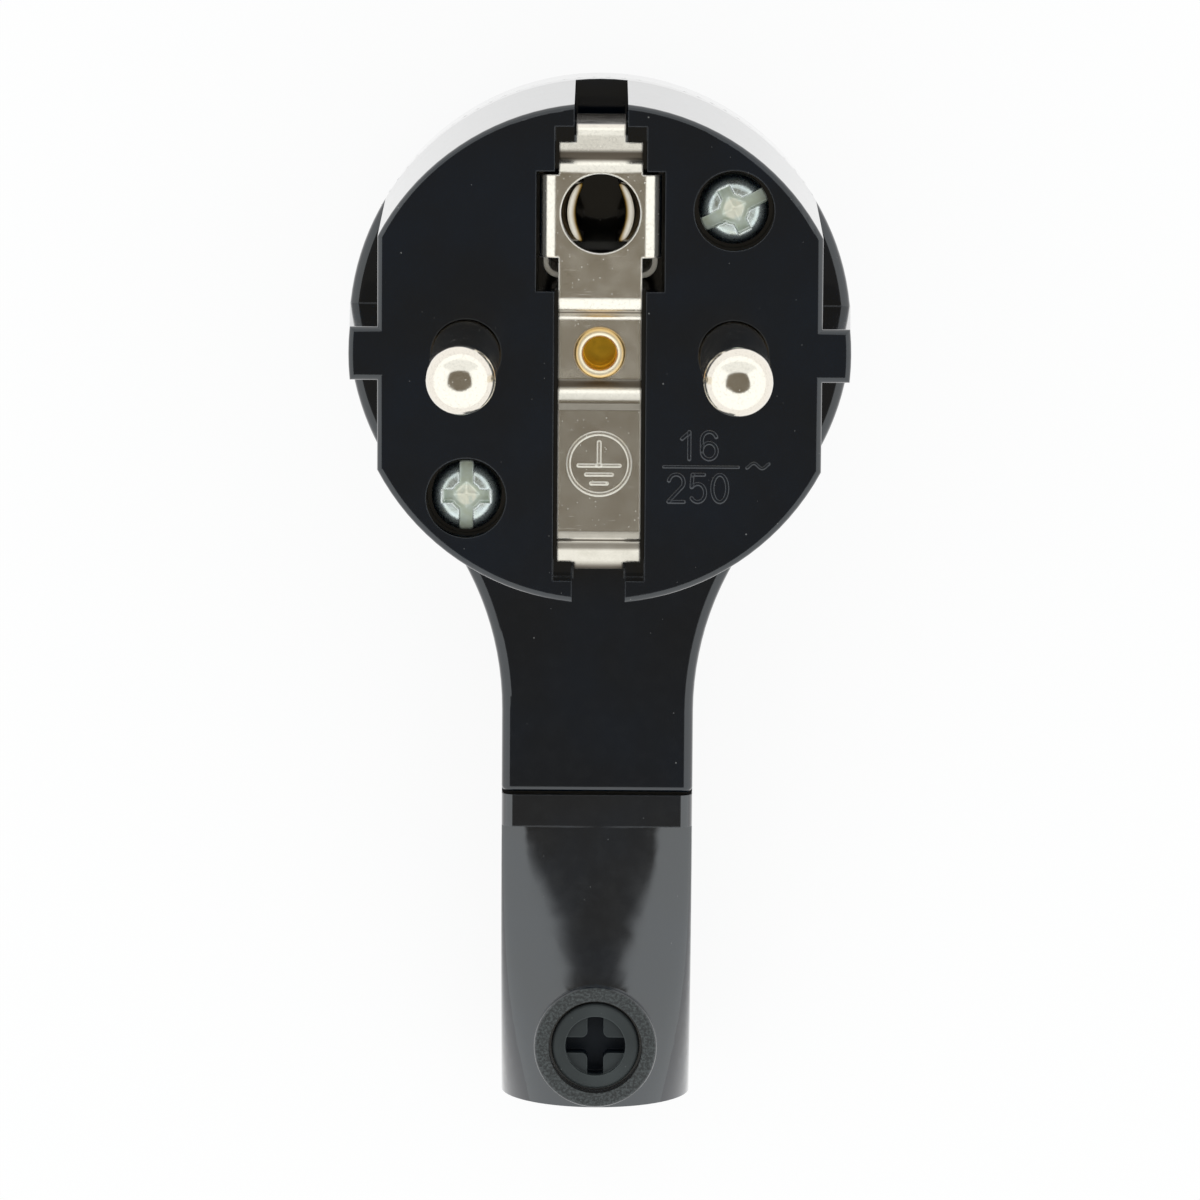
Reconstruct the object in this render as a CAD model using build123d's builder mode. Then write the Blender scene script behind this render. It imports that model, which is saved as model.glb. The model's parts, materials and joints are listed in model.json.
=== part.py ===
from build123d import *
import os
from math import acos, atan, cos, degrees, radians, sin, tan

# A flat two-pin mains plug with an earth hole, lying on its back with the pins up.
# Millimetres. Z is the plug's axis, midway between the pins, and the back rests on Z = 0.
# +Y points to the earth hole, -Y along the tail to the cord entry.

os.makedirs("parts", exist_ok=True)

# Contact pins and earth hole
PIN_SPACING = 19.0
PIN_DIAMETER = 4.8
PIN_LENGTH = 19.0
PIN_TIP_ROUND = 1.9
PIN_NECK = 1.5  # depth of the pin's undercut neck, between the face and the barrel
PIN_UNDERCUT = 0.5
BARREL_DIAMETER = 6.6
BARREL_DEPTH = 15.2  # from the face to the rear end of the terminal barrels
EARTH_OFFSET = 10.0
EARTH_PIN_DIAMETER = 4.8  # of the socket-outlet's earth pin

# Front body
FACE_STEP = 0.65  # of the face's edge, inside the flange that its drafted wall runs down to
FLAT_INSET = 2.05  # of the side flats, inside the face's circle
RIB_WIDTH = 3.8
INSERT_DEPTH = 17.6  # from the face to the front of the flange
FACE_PLATE = 4.2
CARRIER_WALL = 2.2
FACE_ROUND = 0.4
FLANGE_THICKNESS = 2.0
FLANGE_ROUND = 0.75
FLANGE_END_ROUND = 0.35  # across the end of the neck plate
SPIGOT_DEPTH = 1.5
SPIGOT_WALL = 1.2
PIN_BOSS_WALL = 1.6
PIN_BOSS_DEPTH = 9.0  # from the face

# Rear housing, neck and tail
REAR_RADIUS = 18.5
REAR_WALL = 1.8
TAIL_DIAMETER = 14.2
FLARE_RADIUS = 22.5
NECK_LENGTH = 34.7  # from the plug's axis to the front end of the tube
NECK_GAP = 0.25
NECK_END_WALL = 1.5
TAIL_LENGTH = 58.4  # from the plug's axis to the cord entry
TAIL_BAND = 2.4  # flat-fronted length before the tube turns round
TAIL_EDGE_ROUND = 1.0
TAIL_RISES = (1.2, 1.7, 3.4, 7.0)  # heights of the tail's elliptical front, from the band to the cord entry
BACK_FLAT = 0.2  # width of the flat left along the back of the round tail
CORD_BORE = 8.6
CORD_BORE_WALL = 2.0  # behind the bore
CORD_BORE_ROUND = 0.5

# Cord clamp screw and its boss
CLAMP_SCREW_DIAMETER = 6.5
CLAMP_BOSS_WALL = 1.1
CLAMP_MOUTH_DEPTH = 0.8
CLAMP_BOSS_RISE = 0.6  # above the crown of the tail
CLAMP_SCREW_SET = 0.4  # below the rim of the boss
CLAMP_BOSS_ROUND = 0.3
CLAMP_BOSS_GAP = 0.1  # between the boss and the plane of the cord entry
CLAMP_RECESS_DIAMETER = 4.5
CLAMP_RECESS_DEPTH = 0.4
CLAMP_ARM_WIDTH = 1.2
CLAMP_ARM_ROUND = 0.45  # of the corners between the arms
CLAMP_ARM_DEPTH = 1.9
CLAMP_SCREW_ROUND = 0.25

# Earth strip, its channel and the spring round its leaves
STRIP_THICKNESS = 0.7
STRIP_WIDTH = 5.94
STRIP_SET = 0.6  # below the face
SEAT_DROP = 1.0  # of the rivet seat, below its high flats
SEAT_FRONT = 2.53
SEAT_BACK = 2.04
SEAT_RAMP = 0.95
EARTH_SHOULDER = 3.25  # from the earth hole's centre to the joggle past it
EARTH_RAMP = 0.7  # length and drop of that joggle
EARTH_END_LENGTH = 2.99  # from that joggle to the front of the tongue
EARTH_FALL = 0.45  # of the end past that joggle
TAIL_SETBACK = 0.64  # of the tail-end tongue, nearer to the axis than the earth-end one
TAIL_END_LENGTH = 2.5  # from the tail-end joggle to the tail-end tongue
TAIL_RAMP = 0.42  # length and drop of that joggle
TAIL_BROW = 1.65  # length of the sloping end before the tail-end tongue
TAIL_FALL = 0.5  # of that sloping end
CREST_ROUND = 1.2
STEP_ROUND = 0.75
ROOT_ROUND = 0.3
TONGUE_BEND = 0.9
TONGUE_WIDTH = 3.5
TONGUE_REACH = 1.24  # past the end of the strip's full width
TONGUE_DEPTH = 13.0  # from the face
WING_FLAT = 6.4  # across the flat between the wings
WING_PITCH = 17.0  # of the wings' brows, beside that flat
WING_WIDTH = 8.7  # across the bends
WING_LENGTH = 5.9
WING_MARGIN = 0.5  # between the wings and the joggle beside them
WING_BEND = 0.8
WING_SLANT = 35.0  # inwards, from the bend to the knee
WING_SPAN = 7.3  # across the wings below their knees
WING_KNEE = 0.8
WING_DEPTH = 10.5  # from the face
EARTH_ENTRY = 5.64
LEAF_SET = 2.2  # below the face
LEAF_LENGTH = 8.0
LEAF_THICKNESS = 0.9
LEAF_WIDTH = 4.2
LEAF_LEAD_IN = 0.4
SPRING_THICKNESS = 0.4
SPRING_CORNER = 1.15
SPRING_SET = 3.1  # below the face
SPRING_HEIGHT = 7.0
SPRING_FOOT = 4.8  # from the earth hole's centre to the outside of the spring's closed end
SPRING_ARM = 2.6  # past the earth hole's centre
CHANNEL_MARGIN = 0.3
CHANNEL_END_GAP = 1.2
WELL_WIDTH = 9.14
WELL_LENGTH = 8.54
WELL_SHIFT = -1.24  # of the well's middle from the earth hole's centre
WELL_DEPTH = 15.8  # from the face
WELL_WALL = 1.2
NOTCH_RELIEF = 0.6
TONGUE_WALL = 1.7

# Earth terminal, riveted over the strip by its hollow end
EARTH_BARREL_DIAMETER = 5.8
RIVET_DIAMETER = 3.0
RIVET_RIM_DIAMETER = 3.66
RIVET_RIM_HEIGHT = 0.5
RIVET_RIM_ROUND = 0.28
RIVET_BORE = 2.4
RIVET_BORE_DEPTH = 2.6

# Screws
HOUSING_SCREW_INSET = 3.865  # from the face's circle to the screw's centre
HOUSING_SCREW_ANGLE = 47.43  # from the line through the pins
HOUSING_SCREW_TURNS = (26.8, 90.0)
HOUSING_SCREW_DIAMETER = 3.0
HOUSING_SCREW_LENGTH = 23.5
HOUSING_HEAD_DIAMETER = 5.0
HOUSING_HEAD_HEIGHT = 2.0
HOUSING_HEAD_SET = 1.1  # below the face
HOUSING_HEAD_ROUND = 1.0
HOUSING_RECESS = 5.7
HOUSING_SLOT = 1.0
HOUSING_CROSS_LENGTH = 3.4
HOUSING_CROSS_WIDTH = 0.95
HOUSING_CORE_DIAMETER = 2.1  # of the drive, where its slot and cross meet
HOUSING_DRIVE_DEPTH = 1.0
HOUSING_PIT = 1.35  # side of the square pit in the floor of the drive
HOUSING_PIT_FLOOR = 0.22
HOUSING_PIT_DEPTH = 0.3
HOUSING_POST_DIAMETER = 6.4
HOUSING_PILOT_DEPTH = 9.0
TERMINAL_SCREW_DIAMETER = 3.0
TERMINAL_SCREW_LENGTH = 3.0
TERMINAL_HEAD_DIAMETER = 5.5
TERMINAL_HEAD_HEIGHT = 1.6
TERMINAL_SLOT = 0.8
TERMINAL_SLOT_DEPTH = 0.8
WIRE_HOLE = 2.8
WIRE_HOLE_RISE = 4.4  # from the rear end of a barrel

# Clearances, on the radius or on each side
SEAT_CLEARANCE = 0.03
HOLE_CLEARANCE = 0.1
BODY_CLEARANCE = 0.15

# Levels worked out from the sizes above
TAIL_RADIUS = TAIL_DIAMETER / 2
BACK_ROUND = TAIL_RADIUS - BACK_FLAT / 2
FLANGE_Z = TAIL_DIAMETER
PARTING_Z = FLANGE_Z - FLANGE_THICKNESS
FACE_Z = FLANGE_Z + INSERT_DEPTH
FACE_RADIUS = REAR_RADIUS - FACE_STEP
INSERT_DRAFT = degrees(atan(FACE_STEP / INSERT_DEPTH))
FACE_DIAMETER = 2 * FACE_RADIUS
FLAT_WIDTH = FACE_DIAMETER - 2 * FLAT_INSET
HIGH_Z = FACE_Z - STRIP_SET
EARTH_END_Z = HIGH_Z - EARTH_RAMP
TAIL_END_Z = HIGH_Z - TAIL_RAMP
SEAT_Z = HIGH_Z - SEAT_DROP
CHANNEL_Z = SEAT_Z - STRIP_THICKNESS
PLATE_Z = FACE_Z - FACE_PLATE
EARTH_END_JOGGLE = EARTH_OFFSET + EARTH_SHOULDER
TONGUE_Y = EARTH_END_JOGGLE + EARTH_END_LENGTH
TAIL_TONGUE_Y = TONGUE_Y - TAIL_SETBACK
TAIL_END_JOGGLE = TAIL_TONGUE_Y - TAIL_END_LENGTH
STRIP_BODY_LENGTH = 2 * (TONGUE_Y - TONGUE_REACH)
TONGUE_SPACE = STRIP_THICKNESS + BODY_CLEARANCE
WING_FOLD = radians(WING_PITCH - WING_SLANT)
WING_MITRE = (sin(radians(WING_PITCH)) + cos(radians(WING_SLANT))) / (1 + sin(WING_FOLD))
WING_CORNER = WING_WIDTH / 2 + WING_BEND * (WING_MITRE - 1)
WING_CORNER_Z = HIGH_Z - (WING_CORNER - WING_FLAT / 2) * tan(radians(WING_PITCH))
WING_KNEE_Z = WING_CORNER_Z - (WING_CORNER - WING_SPAN / 2) / tan(radians(WING_SLANT))
BARREL_END_Z = FACE_Z - BARREL_DEPTH
CORD_BORE_Z = CORD_BORE_WALL + CORD_BORE / 2
CORD_BORE_TOP = CORD_BORE_Z + CORD_BORE / 2
CLAMP_BOSS_DIAMETER = CLAMP_SCREW_DIAMETER + 2 * (HOLE_CLEARANCE + BODY_CLEARANCE + CLAMP_BOSS_WALL)
CLAMP_BOSS_Y = CLAMP_BOSS_DIAMETER / 2 + CLAMP_BOSS_GAP - TAIL_LENGTH
CLAMP_RIM_Z = FLANGE_Z + CLAMP_BOSS_RISE
HOUSING_HEAD_Z = FACE_Z - HOUSING_HEAD_SET
HOUSING_SEAT_Z = HOUSING_HEAD_Z - HOUSING_HEAD_HEIGHT
HOUSING_PIT_TAPER = degrees(atan((HOUSING_PIT - HOUSING_PIT_FLOOR) / 2 / HOUSING_PIT_DEPTH))
HOUSING_SCREW_RING = FACE_RADIUS - HOUSING_SCREW_INSET
HOUSING_SCREW_X = HOUSING_SCREW_RING * cos(radians(HOUSING_SCREW_ANGLE))
HOUSING_SCREW_Y = HOUSING_SCREW_RING * sin(radians(HOUSING_SCREW_ANGLE))
HOUSING_SCREWS = ((HOUSING_SCREW_X, HOUSING_SCREW_Y), (-HOUSING_SCREW_X, -HOUSING_SCREW_Y))
PINS = ((-PIN_SPACING / 2, 0), (PIN_SPACING / 2, 0))
EARTH_HOLE = (0, EARTH_OFFSET)
WING_Y = EARTH_END_JOGGLE - WING_MARGIN - WING_LENGTH / 2
WELL_CENTRE = (0, EARTH_OFFSET + WELL_SHIFT)


def plug_plan(inset, end):
    """Plan of the body: a disc, a neck as wide as the tail, and flares tangent to both."""
    reach = REAR_RADIUS + FLARE_RADIUS
    flare_x = TAIL_RADIUS + FLARE_RADIUS
    turn = degrees(acos(flare_x / reach))
    flare_y = -reach * sin(radians(turn))
    with BuildSketch() as plan:
        with BuildLine():
            CenterArc((0, 0), REAR_RADIUS - inset, 90, -90 - turn)
            flare = CenterArc((flare_x, flare_y), FLARE_RADIUS + inset, 180 - turn, turn)
            side = Line(flare @ 1, (TAIL_RADIUS - inset, -end))
            Line(side @ 1, (0, -end))
            mirror(about=Plane.YZ)
        make_face()
    return plan.sketch


def rear_form(inset, end):
    """The rear housing's form with its long back edge rounded, shrunk by an inset on every side."""
    with BuildPart() as form:
        with BuildSketch(Plane.XY.offset(inset)):
            add(plug_plan(inset, end))
        extrude(amount=PARTING_Z - inset)
        back = form.faces().sort_by(Axis.Z)[0]
        fillet(back.edges().sort_by(Axis.Y)[1:], BACK_ROUND - inset)
    return form.part


def tube_section(front_round):
    """Section across the front of the tail, round at the back, with a chosen round at its front corners."""
    with BuildSketch() as section:
        with Locations((0, TAIL_RADIUS)):
            Rectangle(TAIL_DIAMETER, TAIL_DIAMETER)
        fillet(section.vertices().group_by(Axis.Y)[0], BACK_ROUND)
        fillet(section.vertices().group_by(Axis.Y)[-1], front_round)
    return section.sketch


def tail_section(rise):
    """Section across the tail, round at the back, with an elliptical front of a chosen height."""
    shoulder = TAIL_DIAMETER - rise
    with BuildSketch() as section:
        with BuildLine():
            Line((0, 0), (BACK_FLAT / 2, 0))
            back = CenterArc((BACK_FLAT / 2, BACK_ROUND), BACK_ROUND, -90, 90)
            Line(back @ 1, (TAIL_RADIUS, shoulder))
            EllipticalCenterArc((0, shoulder), TAIL_RADIUS, rise, start_angle=0, arc_size=90)
            mirror(about=Plane.YZ)
        make_face()
    return section.sketch


def bent_sheet(points, rounds, thickness):
    """Section of a bent sheet: a path with rounded corners and its parallel, one thickness to its left."""
    path = [Vector(*point) for point in points]
    runs = [(b - a).normalized() for a, b in zip(path, path[1:])]
    normals = [run.rotate(Axis.Z, 90) for run in runs]
    mitres = [(m + n) / (1 + m.dot(n)) for m, n in zip(normals, normals[1:])]
    shifts = [normals[0], *mitres, normals[-1]]
    parallel = [point + shift * thickness for point, shift in zip(path, shifts)]
    turns = [run.cross(after).Z for run, after in zip(runs, runs[1:])]
    inner_rounds = [r - thickness if turn > 0 else r + thickness for r, turn in zip(rounds, turns)]
    with BuildSketch() as section:
        with BuildLine():
            outer = FilletPolyline(*path, radius=rounds)
            inner = FilletPolyline(*parallel, radius=inner_rounds)
            Line(outer @ 0, inner @ 0)
            Line(outer @ 1, inner @ 1)
        make_face()
    return section.sketch


def strip_profile():
    """Side profile of the folded earth strip, drawn along its front surface from tongue to tongue."""
    low = FACE_Z - TONGUE_DEPTH
    points = [
        (TONGUE_Y, low),
        (TONGUE_Y, EARTH_END_Z - EARTH_FALL),
        (EARTH_END_JOGGLE + EARTH_RAMP, EARTH_END_Z),
        (EARTH_END_JOGGLE, HIGH_Z),
        (SEAT_FRONT + SEAT_RAMP, HIGH_Z),
        (SEAT_FRONT, SEAT_Z),
        (-SEAT_BACK, SEAT_Z),
        (-SEAT_BACK - SEAT_RAMP, HIGH_Z),
        (-TAIL_END_JOGGLE, HIGH_Z),
        (-TAIL_END_JOGGLE - TAIL_RAMP, TAIL_END_Z),
        (-TAIL_TONGUE_Y + TAIL_BROW, TAIL_END_Z),
        (-TAIL_TONGUE_Y, TAIL_END_Z - TAIL_FALL),
        (-TAIL_TONGUE_Y, low),
    ]
    earth_rounds = [TONGUE_BEND, ROOT_ROUND, CREST_ROUND]
    seat_rounds = [CREST_ROUND, ROOT_ROUND, ROOT_ROUND, CREST_ROUND]
    tail_rounds = [STEP_ROUND, ROOT_ROUND, CREST_ROUND, TONGUE_BEND]
    return bent_sheet(points, earth_rounds + seat_rounds + tail_rounds, STRIP_THICKNESS)


def strip_blank():
    """Space that the strip is cut to: its full width above the floor of its channel, its tongues' below."""
    with BuildPart() as blank:
        with BuildSketch(Plane.XY.offset(CHANNEL_Z)):
            Rectangle(STRIP_WIDTH, STRIP_BODY_LENGTH)
        extrude(amount=FACE_Z - CHANNEL_Z)
        with BuildSketch(Plane.XY.offset(FACE_Z - TONGUE_DEPTH)):
            Rectangle(TONGUE_WIDTH, FACE_DIAMETER)
        extrude(amount=TONGUE_DEPTH)
    return blank.part


def wing_profile():
    """Section across the wings: a sloping brow beside the flat, a slant in to a knee, then straight."""
    low = FACE_Z - WING_DEPTH
    half = WING_SPAN / 2
    points = [
        (half, low),
        (half, WING_KNEE_Z),
        (WING_CORNER, WING_CORNER_Z),
        (WING_FLAT / 2, HIGH_Z),
        (-WING_FLAT / 2, HIGH_Z),
        (-WING_CORNER, WING_CORNER_Z),
        (-half, WING_KNEE_Z),
        (-half, low),
    ]
    return bent_sheet(points, [WING_KNEE, *[WING_BEND] * 4, WING_KNEE], STRIP_THICKNESS)


def spring_plan():
    """Plan of the spring: a band bent round the outside of the wings."""
    half = WING_SPAN / 2 + SEAT_CLEARANCE + SPRING_THICKNESS
    foot = EARTH_OFFSET - SPRING_FOOT
    end = EARTH_OFFSET + SPRING_ARM
    points = [(-half, end), (-half, foot), (half, foot), (half, end)]
    return bent_sheet(points, [SPRING_CORNER] * 2, SPRING_THICKNESS)


def screw_posts():
    """Posts for the housing screws, rising from the back and trimmed to the rear housing's form."""
    with BuildPart() as posts:
        with BuildSketch():
            with Locations(*HOUSING_SCREWS):
                Circle(HOUSING_POST_DIAMETER / 2)
        extrude(amount=PARTING_Z)
        add(rear_form(0, NECK_LENGTH), mode=Mode.INTERSECT)
    return posts.part


def barrel_holes(centre, diameter):
    """Cross hole for the wire and tapped hole for its screw, at the rear end of a terminal barrel."""
    x, y = centre
    wire_z = BARREL_END_Z + WIRE_HOLE_RISE
    with BuildPart() as holes:
        with BuildSketch(Plane.XZ.offset(-y)):
            with Locations((x, wire_z)):
                Circle(WIRE_HOLE / 2)
        extrude(amount=diameter, both=True)
        with BuildSketch(Plane.XY.offset(BARREL_END_Z)):
            with Locations(centre):
                Circle(TERMINAL_SCREW_DIAMETER / 2 + SEAT_CLEARANCE)
        extrude(amount=WIRE_HOLE_RISE)
    return holes.part


# Rear housing: back shell and neck trough moulded in one with the tubular tail
with BuildPart() as rear_housing:
    add(rear_form(0, NECK_LENGTH))
    add(rear_form(REAR_WALL, NECK_LENGTH - NECK_END_WALL), mode=Mode.SUBTRACT)
    add(screw_posts())
    with BuildSketch(Plane.XY.offset(PARTING_Z)):
        with Locations(*HOUSING_SCREWS):
            Circle(HOUSING_SCREW_DIAMETER / 2 + SEAT_CLEARANCE)
    extrude(amount=-HOUSING_PILOT_DEPTH, mode=Mode.SUBTRACT)
    with BuildSketch(Plane.XZ.offset(NECK_LENGTH)):
        add(tube_section(TAIL_EDGE_ROUND))
    extrude(amount=TAIL_BAND)
    tail_start = NECK_LENGTH + TAIL_BAND
    tail_step = (TAIL_LENGTH - tail_start) / (len(TAIL_RISES) - 1)
    for count, rise in enumerate(TAIL_RISES):
        with BuildSketch(Plane.XZ.offset(tail_start + count * tail_step)):
            add(tail_section(rise))
    loft()
    with BuildSketch(Plane.XZ.offset(TAIL_LENGTH)):
        with Locations((0, CORD_BORE_Z)):
            Circle(CORD_BORE / 2)
    extrude(amount=NECK_LENGTH - NECK_END_WALL - TAIL_LENGTH, mode=Mode.SUBTRACT)
    cord_entry = rear_housing.faces().sort_by(Axis.Y)[0]
    fillet(cord_entry.inner_wires().edges(), CORD_BORE_ROUND)
    with BuildSketch(Plane.XY.offset(CORD_BORE_TOP)):
        with Locations((0, CLAMP_BOSS_Y)):
            Circle(CLAMP_BOSS_DIAMETER / 2)
    extrude(amount=CLAMP_RIM_Z - CORD_BORE_TOP)
    fillet(rear_housing.faces().sort_by(Axis.Z)[-1].edges(), CLAMP_BOSS_ROUND)
    with BuildSketch(Plane.XY.offset(CLAMP_RIM_Z)):
        with Locations((0, CLAMP_BOSS_Y)):
            Circle(CLAMP_SCREW_DIAMETER / 2 + HOLE_CLEARANCE + BODY_CLEARANCE)
    extrude(amount=-CLAMP_MOUTH_DEPTH, mode=Mode.SUBTRACT)
    with BuildSketch(Plane.XY.offset(CLAMP_RIM_Z)):
        with Locations((0, CLAMP_BOSS_Y)):
            Circle(CLAMP_SCREW_DIAMETER / 2 + SEAT_CLEARANCE)
    extrude(amount=CORD_BORE_Z - CLAMP_RIM_Z, mode=Mode.SUBTRACT)

# Pin carrier: moulded insert with the face, flats, ribs and wells, its flange and the neck plate
with BuildPart() as insert:
    with BuildSketch(Plane.XY.offset(FACE_Z)):
        Circle(FACE_RADIUS)
    extrude(amount=-INSERT_DEPTH, taper=-INSERT_DRAFT)
    with BuildSketch(Plane.XY.offset(FLANGE_Z)):
        Circle(REAR_RADIUS)
    extrude(amount=-FLANGE_THICKNESS)
    side_depth = FACE_RADIUS
    with BuildSketch(Plane.XY.offset(PARTING_Z)):
        with GridLocations(FLAT_WIDTH + side_depth, RIB_WIDTH + 2 * side_depth, 2, 2):
            Rectangle(side_depth, 2 * side_depth)
    extrude(amount=FACE_Z - PARTING_Z, mode=Mode.SUBTRACT)
    fillet(insert.faces().sort_by(Axis.Z)[-1].edges(), FACE_ROUND)

with BuildPart() as pin_carrier:
    with BuildSketch(Plane.XY.offset(PARTING_Z)):
        add(plug_plan(0, NECK_LENGTH - NECK_GAP))
    extrude(amount=FLANGE_THICKNESS)
    fillet(pin_carrier.faces().sort_by(Axis.Z)[-1].edges().sort_by(Axis.Y)[1:], FLANGE_ROUND)
    fillet(pin_carrier.faces().sort_by(Axis.Y)[0].edges().sort_by(Axis.Z)[-3:], FLANGE_END_ROUND)
    add(insert.part)
    # Spigot that centres the carrier in the rear housing, cleared round the screw posts
    spigot = REAR_WALL + BODY_CLEARANCE
    spigot_end = NECK_LENGTH - NECK_END_WALL - BODY_CLEARANCE
    with BuildSketch(Plane.XY.offset(PARTING_Z)):
        add(plug_plan(spigot, spigot_end))
        add(plug_plan(spigot + SPIGOT_WALL, spigot_end - SPIGOT_WALL), mode=Mode.SUBTRACT)
        with Locations(*HOUSING_SCREWS):
            Circle(HOUSING_POST_DIAMETER / 2 + BODY_CLEARANCE, mode=Mode.SUBTRACT)
    extrude(amount=-SPIGOT_DEPTH)
    # Hollow for the terminals
    with BuildSketch(Plane.XY.offset(PARTING_Z)):
        Circle(FACE_RADIUS - CARRIER_WALL)
        Rectangle(FLAT_WIDTH - 2 * CARRIER_WALL, FACE_DIAMETER, mode=Mode.INTERSECT)
        with GridLocations(0, 2 * (TAIL_TONGUE_Y - TONGUE_SPACE - TONGUE_WALL) + FACE_DIAMETER, 1, 2):
            Rectangle(TONGUE_WIDTH + 2 * (BODY_CLEARANCE + TONGUE_WALL), FACE_DIAMETER, mode=Mode.SUBTRACT)
        with Locations(*HOUSING_SCREWS):
            Circle(HOUSING_POST_DIAMETER / 2, mode=Mode.SUBTRACT)
    extrude(amount=PLATE_Z - PARTING_Z, mode=Mode.SUBTRACT)
    with BuildSketch(Plane.XY.offset(PLATE_Z)):
        with Locations(*PINS):
            Circle(BARREL_DIAMETER / 2 + PIN_BOSS_WALL)
    extrude(amount=FACE_PLATE - PIN_BOSS_DEPTH)
    with BuildSketch(Plane.XY.offset(PLATE_Z)):
        with Locations(WELL_CENTRE):
            Rectangle(WELL_WIDTH + 2 * WELL_WALL, WELL_LENGTH + 2 * WELL_WALL)
    extrude(amount=FACE_PLATE - WELL_DEPTH - WELL_WALL)
    # Channel for the earth strip, well for its leaves, notches for its tongues
    with BuildSketch(Plane.XY.offset(FACE_Z)):
        Rectangle(STRIP_WIDTH + 2 * CHANNEL_MARGIN, STRIP_BODY_LENGTH + 2 * CHANNEL_END_GAP)
    extrude(amount=CHANNEL_Z - FACE_Z, mode=Mode.SUBTRACT)
    with BuildSketch(Plane.XY.offset(FACE_Z)):
        with Locations(WELL_CENTRE):
            Rectangle(WELL_WIDTH, WELL_LENGTH)
    extrude(amount=-WELL_DEPTH, mode=Mode.SUBTRACT)
    for tongue_y, side in ((TONGUE_Y, 1), (TAIL_TONGUE_Y, -1)):
        notch_y = tongue_y - TONGUE_SPACE
        with BuildSketch(Plane.YZ):
            with BuildLine():
                Polyline(
                    (side * REAR_RADIUS, FLANGE_Z),
                    (side * notch_y, FLANGE_Z),
                    (side * notch_y, CHANNEL_Z - NOTCH_RELIEF),
                    (side * (notch_y - NOTCH_RELIEF), CHANNEL_Z),
                    (side * (notch_y - NOTCH_RELIEF), FACE_Z),
                    (side * REAR_RADIUS, FACE_Z),
                    close=True,
                )
            make_face()
        extrude(amount=TONGUE_WIDTH / 2 + BODY_CLEARANCE, both=True, mode=Mode.SUBTRACT)
    # Holes for the pins, the rivet and the housing screws
    with BuildSketch(Plane.XY.offset(FACE_Z)):
        with Locations(*PINS):
            Circle(PIN_DIAMETER / 2 + HOLE_CLEARANCE)
    extrude(amount=-PIN_NECK, mode=Mode.SUBTRACT)
    with BuildSketch(Plane.XY.offset(FACE_Z - PIN_NECK)):
        with Locations(*PINS):
            Circle(BARREL_DIAMETER / 2 + SEAT_CLEARANCE)
    extrude(amount=PARTING_Z - FACE_Z + PIN_NECK, mode=Mode.SUBTRACT)
    with BuildSketch(Plane.XY.offset(CHANNEL_Z)):
        Circle(RIVET_DIAMETER / 2 + SEAT_CLEARANCE)
    extrude(amount=PLATE_Z - CHANNEL_Z, mode=Mode.SUBTRACT)
    with BuildSketch(Plane.XY.offset(FACE_Z)):
        with Locations(*HOUSING_SCREWS):
            Circle(HOUSING_RECESS / 2)
    extrude(amount=HOUSING_SEAT_Z - FACE_Z, mode=Mode.SUBTRACT)
    with BuildSketch(Plane.XY.offset(FACE_Z)):
        with Locations(*HOUSING_SCREWS):
            Circle(HOUSING_SCREW_DIAMETER / 2 + HOLE_CLEARANCE)
    extrude(amount=PARTING_Z - FACE_Z, mode=Mode.SUBTRACT)

# Line and neutral pins: turned, with a round tip and a pillar terminal at the rear
PIN_NAMES = ("line_pin", "neutral_pin")
pins = []
for pin_name, pin_centre in zip(PIN_NAMES, PINS):
    with BuildPart() as pin:
        with BuildSketch(Plane.XY.offset(FACE_Z)):
            with Locations(pin_centre):
                Circle(PIN_DIAMETER / 2)
        extrude(amount=PIN_LENGTH)
        fillet(pin.faces().sort_by(Axis.Z)[-1].edges(), PIN_TIP_ROUND)
        with BuildSketch(Plane.XY.offset(FACE_Z)):
            with Locations(pin_centre):
                Circle(PIN_DIAMETER / 2 - PIN_UNDERCUT)
        extrude(amount=-PIN_NECK)
        with BuildSketch(Plane.XY.offset(FACE_Z - PIN_NECK)):
            with Locations(pin_centre):
                Circle(BARREL_DIAMETER / 2)
        extrude(amount=PIN_NECK - BARREL_DEPTH)
        add(barrel_holes(pin_centre, BARREL_DIAMETER), mode=Mode.SUBTRACT)
    pin.part.label = pin_name
    pins.append(pin.part)

# Earth strip: folded sheet with a joggled rivet seat, end tongues, wings and contact leaves
with BuildPart() as earth_strip:
    with BuildSketch(Plane.YZ):
        add(strip_profile())
    extrude(amount=STRIP_WIDTH / 2, both=True)
    add(strip_blank(), mode=Mode.INTERSECT)
    with BuildSketch(Plane.XZ.offset(-WING_Y)):
        add(wing_profile())
    extrude(amount=WING_LENGTH / 2, both=True)
    leaf_bore = EARTH_PIN_DIAMETER / 2 + SEAT_CLEARANCE
    with BuildSketch(Plane.XY.offset(FACE_Z - LEAF_SET)):
        with Locations(EARTH_HOLE):
            Circle(leaf_bore + LEAF_THICKNESS)
            Circle(leaf_bore, mode=Mode.SUBTRACT)
            Rectangle(WING_SPAN, LEAF_WIDTH, mode=Mode.INTERSECT)
    extrude(amount=-LEAF_LENGTH)
    with BuildSketch(Plane.XY.offset(FACE_Z - LEAF_SET)):
        with Locations(EARTH_HOLE):
            Circle(leaf_bore + LEAF_LEAD_IN)
    extrude(amount=-LEAF_LEAD_IN, taper=45, mode=Mode.SUBTRACT)
    with Locations((0, EARTH_OFFSET, FACE_Z)):
        Hole(EARTH_ENTRY / 2, LEAF_SET)
    with Locations((0, 0, SEAT_Z)):
        Hole(RIVET_DIAMETER / 2 + SEAT_CLEARANCE, STRIP_THICKNESS)

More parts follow.
